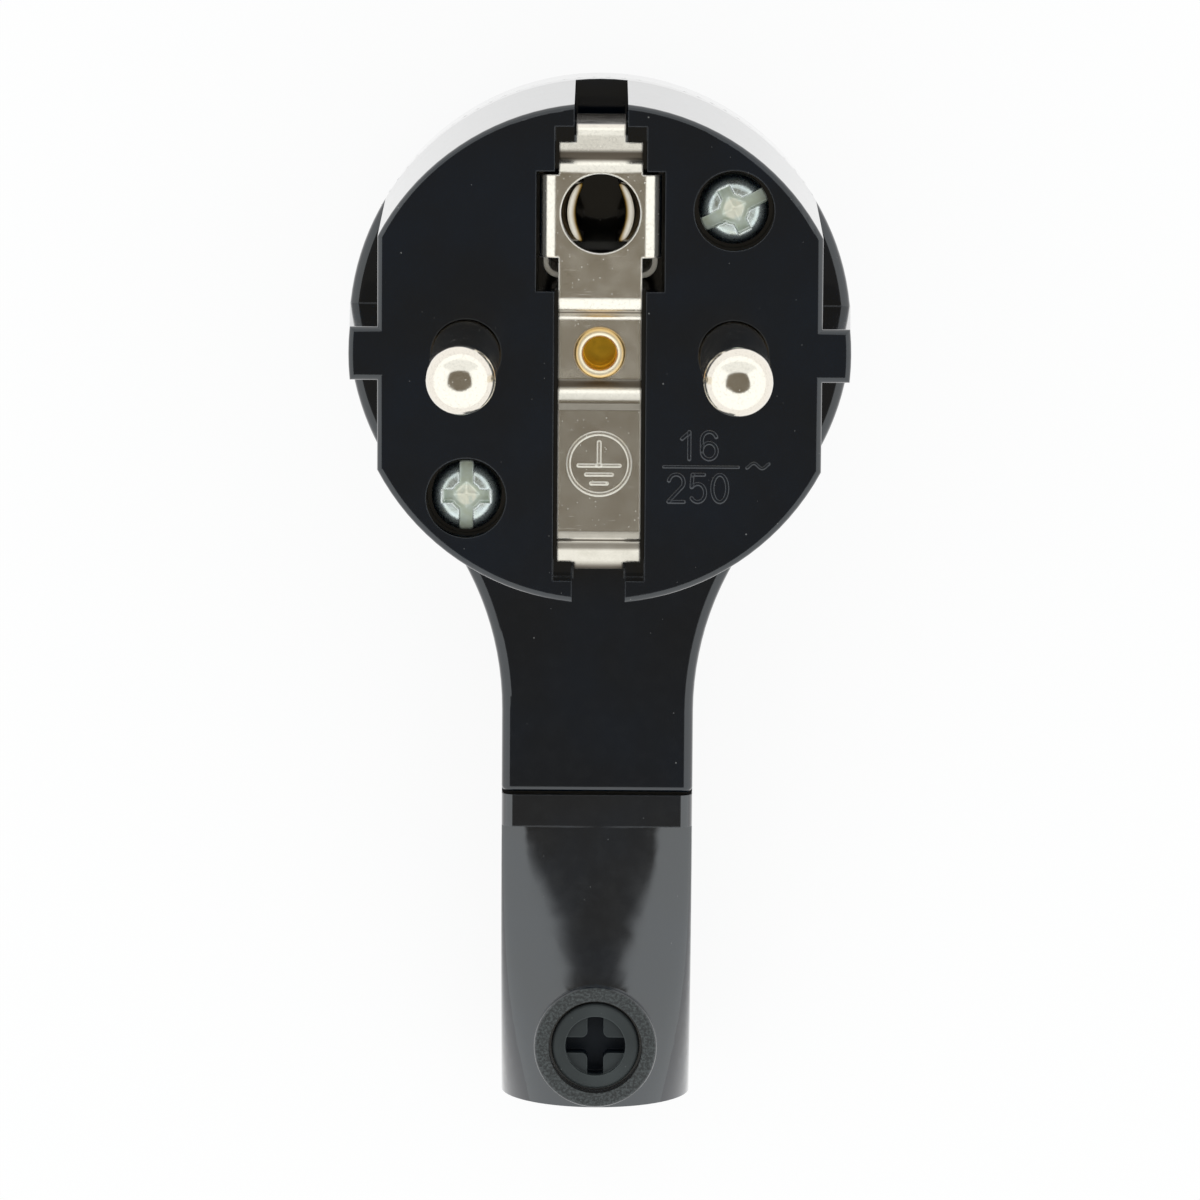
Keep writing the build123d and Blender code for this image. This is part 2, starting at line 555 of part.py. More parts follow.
# Spring: a sheet band bent round the wings to press the leaves on the earth pin
with BuildPart() as earth_spring:
    with BuildSketch(Plane.XY.offset(FACE_Z - SPRING_SET)):
        add(spring_plan())
    extrude(amount=-SPRING_HEIGHT)

# Earth terminal: brass pillar with a hollow end riveted over the strip
with BuildPart() as earth_terminal:
    with BuildSketch(Plane.XY.offset(PLATE_Z)):
        Circle(EARTH_BARREL_DIAMETER / 2)
    extrude(amount=BARREL_END_Z - PLATE_Z)
    with BuildSketch(Plane.XY.offset(PLATE_Z)):
        Circle(RIVET_DIAMETER / 2)
    extrude(amount=SEAT_Z - PLATE_Z)
    with BuildSketch(Plane.XY.offset(SEAT_Z)):
        Circle(RIVET_RIM_DIAMETER / 2)
    extrude(amount=RIVET_RIM_HEIGHT)
    with Locations((0, 0, SEAT_Z + RIVET_RIM_HEIGHT)):
        Hole(RIVET_BORE / 2, RIVET_BORE_DEPTH)
    fillet(earth_terminal.faces().sort_by(Axis.Z)[-1].edges(), RIVET_RIM_ROUND)
    add(barrel_holes((0, 0), EARTH_BARREL_DIAMETER), mode=Mode.SUBTRACT)

# Terminal screws: slotted cheese heads, entering the barrels from behind
with BuildPart() as terminal_screws:
    with BuildSketch(Plane.XY.offset(BARREL_END_Z)):
        with Locations(*PINS, (0, 0)):
            Circle(TERMINAL_HEAD_DIAMETER / 2)
    extrude(amount=-TERMINAL_HEAD_HEIGHT)
    with BuildSketch(Plane.XY.offset(BARREL_END_Z)):
        with Locations(*PINS, (0, 0)):
            Circle(TERMINAL_SCREW_DIAMETER / 2)
    extrude(amount=TERMINAL_SCREW_LENGTH)
    with BuildSketch(Plane.XY.offset(BARREL_END_Z - TERMINAL_HEAD_HEIGHT)):
        with Locations(*PINS, (0, 0)):
            Rectangle(TERMINAL_SLOT, TERMINAL_HEAD_DIAMETER)
    extrude(amount=TERMINAL_SLOT_DEPTH, mode=Mode.SUBTRACT)

# Housing screws: domed heads with a combined slot and cross, sunk in the face
with BuildPart() as housing_screws:
    with BuildSketch(Plane.XY.offset(HOUSING_SEAT_Z)):
        with Locations(*HOUSING_SCREWS):
            Circle(HOUSING_HEAD_DIAMETER / 2)
    extrude(amount=HOUSING_HEAD_HEIGHT)
    fillet(housing_screws.edges().group_by(Axis.Z)[-1], HOUSING_HEAD_ROUND)
    with BuildSketch(Plane.XY.offset(HOUSING_SEAT_Z)):
        with Locations(*HOUSING_SCREWS):
            Circle(HOUSING_SCREW_DIAMETER / 2)
    extrude(amount=-HOUSING_SCREW_LENGTH)
    for screw_centre, turn in zip(HOUSING_SCREWS, HOUSING_SCREW_TURNS):
        with BuildSketch(Plane.XY.offset(HOUSING_HEAD_Z)):
            with Locations(Location((*screw_centre, 0), turn)):
                Rectangle(HOUSING_HEAD_DIAMETER, HOUSING_SLOT)
                Rectangle(HOUSING_CROSS_WIDTH, HOUSING_CROSS_LENGTH)
                Circle(HOUSING_CORE_DIAMETER / 2)
        extrude(amount=-HOUSING_DRIVE_DEPTH, mode=Mode.SUBTRACT)
        with BuildSketch(Plane.XY.offset(HOUSING_HEAD_Z - HOUSING_DRIVE_DEPTH)):
            with Locations(Location((*screw_centre, 0), turn + 45)):
                Rectangle(HOUSING_PIT, HOUSING_PIT)
        extrude(amount=-HOUSING_PIT_DEPTH, taper=HOUSING_PIT_TAPER, mode=Mode.SUBTRACT)

# Cord clamp screw: plastic, with a cross in a round recess, backed off clear of the cord bore
with BuildPart() as cord_clamp_screw:
    clamp_top = CLAMP_RIM_Z - CLAMP_SCREW_SET
    with BuildSketch(Plane.XY.offset(CORD_BORE_TOP)):
        with Locations((0, CLAMP_BOSS_Y)):
            Circle(CLAMP_SCREW_DIAMETER / 2)
    extrude(amount=clamp_top - CORD_BORE_TOP)
    fillet(cord_clamp_screw.faces().sort_by(Axis.Z)[-1].edges(), CLAMP_SCREW_ROUND)
    with BuildSketch(Plane.XY.offset(clamp_top)):
        with Locations((0, CLAMP_BOSS_Y)):
            Circle(CLAMP_RECESS_DIAMETER / 2)
    extrude(amount=-CLAMP_RECESS_DEPTH, mode=Mode.SUBTRACT)
    with BuildSketch(Plane.XY.offset(clamp_top)) as arms:
        with Locations((0, CLAMP_BOSS_Y)):
            Rectangle(CLAMP_RECESS_DIAMETER, CLAMP_ARM_WIDTH)
            Rectangle(CLAMP_ARM_WIDTH, CLAMP_RECESS_DIAMETER)
        fillet(arms.vertices().sort_by_distance((0, CLAMP_BOSS_Y))[:4], CLAMP_ARM_ROUND)
        with Locations((0, CLAMP_BOSS_Y)):
            Circle(CLAMP_RECESS_DIAMETER / 2, mode=Mode.INTERSECT)
    extrude(amount=-CLAMP_ARM_DEPTH, mode=Mode.SUBTRACT)

rear_housing.part.label = "rear_housing"
pin_carrier.part.label = "pin_carrier"
earth_strip.part.label = "earth_strip"
earth_spring.part.label = "earth_spring"
earth_terminal.part.label = "earth_terminal"
terminal_screws.part.label = "terminal_screws"
housing_screws.part.label = "housing_screws"
cord_clamp_screw.part.label = "cord_clamp_screw"

for part in pins:
    export_step(part, f"parts/{part.label}.step")
export_step(rear_housing.part, "parts/rear_housing.step")
export_step(pin_carrier.part, "parts/pin_carrier.step")
export_step(earth_strip.part, "parts/earth_strip.step")
export_step(earth_spring.part, "parts/earth_spring.step")
export_step(earth_terminal.part, "parts/earth_terminal.step")
export_step(terminal_screws.part, "parts/terminal_screws.step")
export_step(housing_screws.part, "parts/housing_screws.step")
export_step(cord_clamp_screw.part, "parts/cord_clamp_screw.step")
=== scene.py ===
import json
from math import radians, tan

import bpy
import numpy as np
from mathutils import Matrix, Vector


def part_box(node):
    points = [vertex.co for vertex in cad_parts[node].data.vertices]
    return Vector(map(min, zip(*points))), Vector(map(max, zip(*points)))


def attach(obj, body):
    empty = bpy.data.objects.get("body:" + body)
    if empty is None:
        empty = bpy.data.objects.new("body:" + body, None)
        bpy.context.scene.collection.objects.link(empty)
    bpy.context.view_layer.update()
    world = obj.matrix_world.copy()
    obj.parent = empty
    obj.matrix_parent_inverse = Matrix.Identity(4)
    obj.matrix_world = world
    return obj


bl_info = {
    "name": "Flat mains plug",
    "version": (1, 0, 0),
    "blender": (4, 5, 0),
    "location": "View3D > Sidebar > Plug",
    "description": "Dresses the CAD model of a flat mains plug and sets it on a white stage",
    "category": "Object",
}

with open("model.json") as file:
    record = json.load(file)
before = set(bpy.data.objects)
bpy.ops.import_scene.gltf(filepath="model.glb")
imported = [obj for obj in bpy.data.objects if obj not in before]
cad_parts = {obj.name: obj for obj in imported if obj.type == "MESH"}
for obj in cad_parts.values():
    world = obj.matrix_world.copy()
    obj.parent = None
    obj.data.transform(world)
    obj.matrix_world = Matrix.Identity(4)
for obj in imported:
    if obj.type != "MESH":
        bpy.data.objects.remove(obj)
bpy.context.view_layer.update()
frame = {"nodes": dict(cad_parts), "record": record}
NODES = frame["nodes"]
MOUNTS = {mount["name"]: mount for mount in frame["record"]["mounts"]}
MM = 0.001
BODY = "root"
FACE_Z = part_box("pin_carrier")[1].z
STRIP_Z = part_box("earth_strip")[1].z
EARTH_HOLE = MOUNTS["earth_socket"]["pos_m"]
# Painted shade along the strip's creases: place, half width, darkness; places and widths in millimetres
STRIP_CREASES = (
    (14.05, 0.36, 0.92),
    (2.85, 0.24, 0.2),
    (2.91, 0.06, 0.8),
    (-2.2, 0.3, 0.92),
    (-3.75, 0.25, 0.5),
    (-12.95, 0.25, 0.35),
    (-13.37, 0.08, 0.85),
    (-13.78, 0.27, 0.6),
    (-15.7, 0.6, 0.8),
)
HEAD_RADIUS = 2.5  # of the housing screws, in millimetres
HEAD_DOME = 0.03  # fall of their heads one millimetre from the middle, in millimetres
BOSS_RIM = 1.3  # width of the matt rim round the clamp screw, in millimetres
SEAT_END = -3.0  # tail-side end of the painted highlight on the strip, in millimetres
EARTH_BARS = (1, 0.67, 0.45)  # lengths of the earth sign's bars, as shares of the longest
PLATING_RELIEF = 0.004 * MM  # of the lines, pits and crystals in metal surfaces
TURNING_RELIEF = 0.005 * MM  # of the turning marks on the rivet
WHITE = (1.0, 1.0, 1.0, 1.0)
# Pale nickel for pits, and for bright edges that are partly wear and partly a painted highlight
BRIGHT_NICKEL = (0.95, 0.93, 0.88, 1.0)
# Painted highlight on the rims of the screws
ZINC_RIM_HIGHLIGHT = (0.95, 0.97, 0.96, 1.0)
ZINC_CRYSTAL = (0.86, 0.9, 0.9, 1.0)


def length(name, description, default):
    """A size property in metres."""
    return bpy.props.FloatProperty(
        name=name, description=description, default=default, unit="LENGTH", precision=5
    )


def angle(name, description, default):
    """An angle property whose default is given in degrees."""
    return bpy.props.FloatProperty(
        name=name, description=description, default=radians(default), subtype="ANGLE"
    )


def level(name, description, default):
    """A plain number, such as a brightness or a roughness."""
    return bpy.props.FloatProperty(name=name, description=description, default=default, min=0)


def colour(name, description, default):
    """A linear colour property."""
    return bpy.props.FloatVectorProperty(
        name=name, description=description, default=default, size=3, subtype="COLOR", min=0, max=1
    )


class PlugMarkSizes(bpy.types.PropertyGroup):
    """Sizes of the marks on the strip and on the face, and of the lips in the earth hole."""

    earth_y: length("Earth mark place", "Height of the mark's middle on the face", -7.85 * MM)
    earth_ring: length("Ring radius", "Radius to the middle of the ring's line", 2.19 * MM)
    earth_stem: length("Stem length", "From the top bar to the end of the stem", 1.66 * MM)
    earth_bar: length("Top bar", "Length of the longest bar", 3.3 * MM)
    earth_bar_step: length("Bar spacing", "From bar to bar", 0.64 * MM)
    earth_drop: length("Bar drop", "From the ring's middle to the longest bar", 0.12 * MM)
    earth_line: length("Mark line width", "Width of the stamped lines", 0.36 * MM)
    earth_relief: length("Mark relief", "Height of the stamped lines", 0.07 * MM)
    number_height: length("Number height", "Height of the rating numbers", 2.25 * MM)
    number_line: length("Number line width", "Width of the raised lines", 0.29 * MM)
    number_relief: length("Number relief", "Height of the raised lines", 0.055 * MM)
    number_x: length("Number place across", "Middle of the line between the numbers", 7.25 * MM)
    number_y: length("Number place along", "Height of that line on the face", -7.95 * MM)
    number_bar: length("Number bar", "Length of the line between the numbers", 5.3 * MM)
    lip_gap: length("Lip gap", "Between the two lips across the earth hole", 3.55 * MM)
    lip_width: length("Lip width", "Width of the lips, seen from the front", 0.6 * MM)
    lip_depth: length("Lip depth", "From the strip's front to the top of the lips", 0.85 * MM)
    lip_height: length("Lip height", "From the leaves to the top of the lips", 0.75 * MM)
    lip_curve: length("Lip curve", "Radius that the lips are bent to along the hole", 3.2 * MM)
    lip_reach: length("Lip reach", "Half of a lip's length", 2.15 * MM)


class PlugColours(bpy.types.PropertyGroup):
    """Colours and softness of the plug's materials."""

    body: colour("Body plastic", "Moulded black plastic", (0.0002, 0.0031, 0.0082))
    clamp: colour("Clamp screw plastic", "Satin black plastic", (0.041, 0.047, 0.048))
    dust: colour("Dust", "Specks that lie on the plastic", (0.28, 0.28, 0.27))
    nickel: colour("Nickel", "Plating of the pins and the earth strip", (0.74, 0.69, 0.61))
    # Bright nickel: the pins' own colour, and a painted highlight on the strip past the seat
    nickel_stain: colour("Worn nickel", "Where the plating is dull", (0.6, 0.555, 0.475))
    nickel_bright_and_sheen: colour("Bright nickel and sheen", "Where it is polished as a painted highlight on the strip", (0.91, 0.855, 0.76))
    spring: colour("Spring steel", "Band round the contact leaves", (0.92, 0.88, 0.8))
    # Painted shade: the colour the plating is painted deep in the wells and along the strip's creases
    well_shade: colour("Well shade", "Plating deep in the wells", (0.075, 0.054, 0.034))
    brass: colour("Brass", "Riveted earth terminal", (0.86, 0.6, 0.27))
    brass_rubbed: colour("Rubbed brass", "Inner edge of the rivet's rim", (0.98, 0.9, 0.72))
    brass_dark: colour("Tarnished brass", "Inside of the rivet", (0.9, 0.53, 0.045))
    zinc: colour("Zinc", "Plating of the screws", (0.705, 0.78, 0.79))
    zinc_tint: colour("Zinc tint", "Tinted film on the plating", (0.58, 0.63, 0.5))
    zinc_pit: colour("Zinc pit", "Pale deposit in the pit of the screws", (0.9, 0.87, 0.74))
    edge: length("Edge softness", "Radius that sharp edges shine with", 0.12 * MM)


class PlugStage(bpy.types.PropertyGroup):
    """Camera, light tent and floor."""

    lens: level("Lens", "Focal length on a 36 mm sensor, in millimetres", 198)
    distance: length("Distance", "From the camera to its target", 470.8 * MM)
    tilt: angle("Tilt", "Of the camera from the pins' direction", 8.08)
    roll: angle("Roll", "Of the picture, clockwise", 0.38)
    target_x: length("Target across", "Point on the face's plane that the camera aims at", 0.13 * MM)
    target_y: length("Target along", "Point on the face's plane that the camera aims at", -17.55 * MM)
    tent: level("Tent", "Brightness of the white tent", 1.22)
    tent_tint: colour("Tent tint", "Colour of the tent's cloth", (0.965, 1.0, 1.0))
    flap: level("Flap", "Share of the tent's brightness that its flap on the earth side has", 0.8)
    flap_end: angle("Flap end", "Far edge of the flap, from straight up", 64)
    gap: colour("Gap", "Colour of the gap that the camera looks through", (0.175, 0.156, 0.122))
    gap_left: angle("Gap left", "Edge of the gap, from straight up", 23)
    gap_right: angle("Gap right", "Edge of the gap, from straight up", 17)
    gap_earth: angle("Gap on the earth side", "Edge of the gap, from straight up", 16)
    gap_tail: angle("Gap on the tail side", "Edge of the gap, from straight up", 12.7)
    gap_blur: level("Gap blur", "Softness of the gap's edges", 0.035)
    tail_blur: level("Tail-side blur", "Softness of the gap's edge on the tail side", 0.018)
    floor: colour("Floor", "Pale floor", (0.94, 0.94, 0.94))
    floor_glow: level("Floor glow", "Share of the floor that shows plain white", 0.9)


class Shade:
    """A socket in a node tree; sums and products of shades add Math nodes."""

    def __init__(self, paint, socket):
        self.paint = paint
        self.socket = socket

    def maths(self, operation, *terms):
        """One Math node on the given terms."""
        return self.paint.node("ShaderNodeMath", {"operation": operation}, dict(enumerate(terms)))

    def __add__(self, other):
        return self.maths("ADD", self, other)

    def __sub__(self, other):
        return self.maths("SUBTRACT", self, other)

    def __rsub__(self, other):
        return self.maths("SUBTRACT", other, self)

    def __mul__(self, other):
        return self.maths("MULTIPLY", self, other)

    def __truediv__(self, other):
        return self.maths("DIVIDE", self, other)

    __radd__ = __add__
    __rmul__ = __mul__

    def rise(self, low, high, start=0.0, end=1.0):
        """A smooth step from start to end as the shade goes from low to high."""
        sockets = {"Value": self, "From Min": low, "From Max": high, "To Min": start, "To Max": end}
        return self.paint.node("ShaderNodeMapRange", {"interpolation_type": "SMOOTHSTEP"}, sockets)


class Paint:
    """A node tree being filled: that of a material or of the world."""

    def __init__(self, owner):
        owner.use_nodes = True
        self.tree = owner.node_tree
        self.tree.nodes.clear()

    def node(self, kind, settings=None, sockets=None, out=0):
        """Adds a node, fills its settings and then its sockets, and returns an output, if any."""
        node = self.tree.nodes.new(kind)
        for name, value in (settings or {}).items():
            setattr(node, name, value)
        for name, value in (sockets or {}).items():
            if isinstance(value, Shade):
                self.tree.links.new(value.socket, node.inputs[name])
            else:
                node.inputs[name].default_value = value
        return Shade(self, node.outputs[out]) if node.outputs else None

    def places(self):
        """Object coordinates in millimetres."""
        coordinates = self.node("ShaderNodeTexCoord", out="Object")
        return self.node(
            "ShaderNodeVectorMath", {"operation": "SCALE"}, {0: coordinates, "Scale": 1 / MM}
        )

    def split(self, places):
        """The three parts of coordinates."""
        return [self.node("ShaderNodeSeparateXYZ", {}, {0: places}, out=axis) for axis in "XYZ"]

    def stretched(self, places, scale):
        """Coordinates stretched by a scale of their own on each axis."""
        return self.node("ShaderNodeMapping", {"vector_type": "POINT"}, {0: places, "Scale": scale})

    def noise(self, places, scale, detail=3.0, roughness=0.5):
        """Soft noise of a given number of patches a millimetre."""
        sockets = {"Vector": places, "Scale": scale, "Detail": detail, "Roughness": roughness}
        return self.node("ShaderNodeTexNoise", {"normalize": True}, sockets, out="Fac")

    def specks(self, places, cells, size, share):
        """Round specks, one in a given share of the cells of a jittered grid."""
        sockets = {"Vector": places, "Scale": cells}
        distance = self.node("ShaderNodeTexVoronoi", {}, sockets, out="Distance")
        cell = self.node("ShaderNodeTexVoronoi", {}, sockets, out="Color")
        draw = self.node("ShaderNodeSeparateColor", {}, {0: cell})
        return distance.rise(size, 0.4 * size) * draw.rise(1 - share, 1.001 - share)

    def blend(self, factor, first, second):
        """A mix of two colours."""
        settings = {"data_type": "RGBA", "clamp_factor": True}
        return self.node("ShaderNodeMix", settings, {0: factor, 6: first, 7: second}, out=2)

    def soft_edges(self, radius):
        """The normal as if sharp edges had a small radius."""
        return self.node("ShaderNodeBevel", {"samples": 6}, {"Radius": radius})

    def edge_mask(self, soft):
        """One on edges, nought on flats: how far the softened normal turns from the true one."""
        true = self.node("ShaderNodeNewGeometry", out="Normal")
        sockets = {0: soft, 1: true}
        cosine = self.node("ShaderNodeVectorMath", {"operation": "DOT_PRODUCT"}, sockets, out=1)
        return cosine.rise(0.995, 0.85)

    def bump(self, height, depth, normal):
        """The normal turned by a height map; depth is its full height."""
        sockets = {"Height": height, "Strength": 1.0, "Distance": depth, "Normal": normal}
        return self.node("ShaderNodeBump", {}, sockets)

    def surface(self, **sockets):
        """Ends the tree in a Principled surface with the given sockets."""
        named = {name.replace("_", " "): value for name, value in sockets.items()}
        shader = self.node("ShaderNodeBsdfPrincipled", {}, named, out="BSDF")
        self.node("ShaderNodeOutputMaterial", {}, {"Surface": shader})


def rgba(value):
    """A colour property with full alpha."""
    return (*value, 1.0)


def new_paint(name):
    """A new material and the paint that fills it."""
    material = bpy.data.materials.new(name)
    return material, Paint(material)


def moulded_plastic(
    name, tint, roughness, grain_depth, colours, ior, gloss, gloss_ior=1.5, rim=None, recess=None
):
    """Black moulded plastic: flow marks, a fine grain, dust on what faces up and paler edges, partly
    wear and partly a painted highlight.

    Gloss is the strength of its smooth skin, which has an index of its own. A rim, given by its middle,
    radius and height, is left rough from the mould. From the height of a recess downwards, the plastic
    is painted dark: painted shade in the recess.
    """
    material, paint = new_paint(name)
    places = paint.places()
    flow = paint.noise(places, 0.16, detail=2)
    haze = paint.noise(places, 1.1, detail=4)
    grain = paint.noise(places, 9.0, detail=2)
    scuffs = paint.noise(paint.stretched(places, (0.5, 7.0, 0.5)), 1.2, detail=3).rise(0.62, 0.8)
    soft = paint.soft_edges(colours.edge)
    edge = paint.edge_mask(soft)
    normal = paint.node("ShaderNodeNewGeometry", out="Normal")
    upward = paint.node("ShaderNodeSeparateXYZ", {}, {0: normal}, out="Z").rise(0.3, 0.9)
    dust = (paint.specks(places, 0.85, 0.07, 0.2) + paint.specks(places, 2.3, 0.1, 0.05)) * upward
    deep = rgba([0.8 * c for c in tint])
    pale = rgba([1.25 * c for c in tint])
    # Paler edge colour: partly wear, partly a painted highlight
    worn = rgba([2.6 * c for c in tint])
    body = paint.blend(flow.rise(0.3, 0.7), deep, pale)
    body = paint.blend(edge * 0.6, body, worn)
    body = paint.blend(dust * 0.45, body, rgba(colours.dust))
    rough = roughness + 0.04 * haze.rise(0.35, 0.75) + 0.04 * scuffs + 0.25 * dust
    height = grain * 0.7 + haze * 0.3
    if rim:
        pitted = paint.noise(places, 5.0, detail=3, roughness=0.7)
        x, y, z = paint.split(places)
        rim_x, rim_y, radius, top = rim
        off_x, off_y = x - rim_x, y - rim_y
        reach = x.maths("SQRT", off_x * off_x + off_y * off_y)
        matt = reach.rise(radius + 0.15, radius - 0.15) * z.rise(top - 0.25, top)
        dark_specks = rgba([0.3 * c for c in colours.clamp])
        pale_specks = rgba([1.3 * c for c in colours.clamp])
        speckled = paint.blend(pitted.rise(0.42, 0.62), dark_specks, pale_specks)
        body = paint.blend(matt, body, speckled)
        rough = rough + matt * 0.4
        height = height + matt * (30.0 * pitted)
        gloss = gloss * (1 - matt)
    if recess:
        # Painted shade: darker from the recess's height downwards
        hollow = paint.split(places)[2].rise(recess - 0.1, recess - 1.2)
        body = paint.blend(hollow * 0.95, body, rgba(colours.body))
    paint.surface(
        Base_Color=body,
        Roughness=rough,
        IOR=ior,
        Coat_Weight=gloss,
        Coat_IOR=gloss_ior,
        Normal=paint.bump(height, grain_depth, soft),
    )
    return material


def plated_nickel(
    name,
    colours,
    direction,
    roughness,
    shade_from,
    edge_width,
    creases=(),
    brightened_from=None,
    worn_from=None,
):
    """Nickel plate: rolling or turning lines, dull patches, small pits, bright edges that are partly
    wear and partly a painted highlight.

    Edge width is a multiple of the plug's edge softness. The plate is painted dark deep in the wells,
    from a given height downwards, and along creases, each given by its place along the strip, half its
    width and its darkness: painted shade. Past a given place it is painted brighter, which on the strip
    is a painted highlight. Where it is worn, brown brass shows from a given height downwards.
    """
    material, paint = new_paint(name)
    places = paint.places()
    lines = paint.noise(paint.stretched(places, direction), 1.0, detail=4, roughness=0.65)
    cloud = paint.noise(places, 0.55, detail=4, roughness=0.6)
    pits = paint.specks(places, 1.9, 0.13, 0.16) + paint.specks(places, 4.6, 0.2, 0.16)
    scratch = paint.noise(paint.stretched(places, (0.35, 9.0, 0.35)), 1.4, detail=2).rise(0.7, 0.76)
    mottle = paint.noise(places, 5.0, detail=3, roughness=0.6)
    soft = paint.soft_edges(edge_width * colours.edge)
    edge = paint.edge_mask(soft)
    y, z = paint.split(places)[1:]
    stain = rgba(colours.nickel_stain)
    metal = paint.blend(cloud.rise(0.35, 0.75) * 0.7, rgba(colours.nickel), stain)
    if brightened_from is not None:
        # Painted highlight: brighter past a given place
        brightened = y.rise(brightened_from - 0.4, brightened_from + 0.4)
        metal = paint.blend(brightened, metal, rgba(colours.nickel_bright_and_sheen))
    metal = paint.blend(mottle.rise(0.45, 0.75) * 0.3, metal, stain)
    metal = paint.blend(pits * 0.4, metal, BRIGHT_NICKEL)
    # Bright edges: partly wear, partly a painted highlight
    metal = paint.blend(edge * 0.8, metal, BRIGHT_NICKEL)
    if worn_from is not None:
        worn = z.rise(worn_from, worn_from - 0.22) * (0.5 + cloud)
        brown = rgba([0.45 * part for part in colours.brass_dark])
        metal = paint.blend(worn, metal, brown)
    # Painted shade deep in the wells, from a given height downwards
    dark = z.rise(shade_from, shade_from - 0.5) * 0.85
    rough = roughness + 0.07 * cloud.rise(0.3, 0.8) + 0.05 * lines + 0.2 * pits + 0.06 * mottle
    rough = rough + 0.25 * edge
    # Painted shade along the creases
    for place, half_width, darkness in creases:
        crease = y.maths("ABSOLUTE", y - place).rise(1.5 * half_width, 0.5 * half_width)
        dark = dark.maths("MAXIMUM", dark, crease * darkness)
        rough = rough.maths("MAXIMUM", rough, crease * 0.45)
    metal = paint.blend(dark, metal, rgba(colours.well_shade))
    height = lines * 0.6 + scratch * 0.25 + pits * 0.6 + mottle * 0.4
    paint.surface(
        Base_Color=metal,
        Metallic=1.0,
        Roughness=rough,
        Normal=paint.bump(height, PLATING_RELIEF, soft),
    )
    return material


def spring_steel(colours):
    """Rolled spring strip: fine lines along the band and a grey-brown bloom."""
    material, paint = new_paint("rolled spring steel")
    places = paint.places()
    lines = paint.noise(paint.stretched(places, (1.0, 1.0, 14.0)), 1.0, detail=3)
    bloom = paint.noise(places, 0.8, detail=3)
    soft = paint.soft_edges(colours.edge)
    stain = rgba(colours.nickel_stain)
    steel = paint.blend(bloom.rise(0.4, 0.8) * 0.6, rgba(colours.spring), stain)
    paint.surface(
        Base_Color=steel,
        Metallic=1.0,
        Roughness=0.5 + 0.12 * lines,
        Normal=paint.bump(lines, PLATING_RELIEF, soft),
    )
    return material


def turned_brass(colours):
    """Bare brass: turning marks round the rivet, a rubbed rim, tarnished brass deep in its hollow end.
    """
    material, paint = new_paint("turned brass")
    places = paint.places()
    x, y, z = paint.split(places)
    radius = x.maths("SQRT", x * x + y * y)
    depth = z.rise(FACE_Z / MM - 1.3, FACE_Z / MM - 2.0)
    turning = paint.noise(paint.stretched(places, (1.0, 1.0, 16.0)), 1.0, detail=3)
    cloud = paint.noise(places, 1.6, detail=3)
    soft = paint.soft_edges(colours.edge)
    rim = paint.blend(radius.rise(1.4, 1.7), rgba(colours.brass_rubbed), rgba(colours.brass))
    brass = paint.blend(depth + 0.12 * cloud, rim, rgba(colours.brass_dark))
    paint.surface(
        Base_Color=brass,
        Metallic=1.0,
        Roughness=0.3 + 0.14 * cloud - 0.16 * depth,
        Normal=paint.bump(turning, TURNING_RELIEF, soft),
    )
    return material


def bright_zinc(colours):
    """Bright zinc: crystals in the plating, a greenish film in the hollows, rims with a painted
    highlight, domed heads.
    """
    material, paint = new_paint("bright zinc")
    places = paint.places()
    crystals = paint.node("ShaderNodeTexVoronoi", {}, {"Vector": places, "Scale": 5.5}, out="Color")
    crystal = paint.node("ShaderNodeSeparateColor", {}, {0: crystals})
    film = paint.noise(places, 1.7, detail=4, roughness=0.6)
    grain = paint.noise(places, 7.0, detail=3)
    soft = paint.soft_edges(2.0 * colours.edge)
    edge = paint.edge_mask(soft)
    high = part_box("housing_screws")[1] / MM
    x, y, z = paint.split(places)
    hollow = z.rise(high.z - 0.65, high.z - 0.95)
    away = []
    for side in (1, -1):
        off_x, off_y = x - side * (high.x - HEAD_RADIUS), y - side * (high.y - HEAD_RADIUS)
        away.append(x.maths("SQRT", off_x * off_x + off_y * off_y))
    radius = x.maths("MINIMUM", *away)
    pit = radius.rise(0.85, 0.55) * hollow
    inner = x.maths("MINIMUM", radius, HEAD_RADIUS)
    domed = paint.bump(-HEAD_DOME * inner * inner, MM, soft)
    tinted = film.rise(0.3, 0.7) * 0.4 + hollow * 0.6
    zinc = paint.blend(tinted, rgba(colours.zinc), rgba(colours.zinc_tint))
    zinc = paint.blend(crystal * 0.12, zinc, ZINC_CRYSTAL)
    # Painted highlight on the rims
    zinc = paint.blend(edge * 0.85, zinc, ZINC_RIM_HIGHLIGHT)
    zinc = paint.blend(pit * film.rise(0.2, 0.5), zinc, rgba(colours.zinc_pit))
    rough = 0.2 + 0.1 * grain + 0.08 * crystal + 0.16 * hollow - 0.14 * edge
    paint.surface(
        Base_Color=zinc,
        Metallic=1.0,
        Roughness=rough,
        Normal=paint.bump(grain, PLATING_RELIEF, domed),
    )
    return material


def dress(names, material):
    """Gives CAD nodes their material."""
    for name in names:
        for slot in NODES[name].material_slots:
            slot.material = material


def line(start, end, count=12):
    """Points on a straight line."""
    t = np.linspace(0, 1, count)[:, None]
    return (1 - t) * np.array(start, float) + t * np.array(end, float)


def arc(centre, radii, start, end, count=40):
    """Points on an ellipse's arc from one angle to another, in degrees."""
    t = np.radians(np.linspace(start, end, count))[:, None]
    return np.array(centre) + np.hstack([radii[0] * np.cos(t), radii[1] * np.sin(t)])


def unit(vectors):
    """Vectors of length one."""
    return vectors / np.linalg.norm(vectors, axis=-1, keepdims=True)


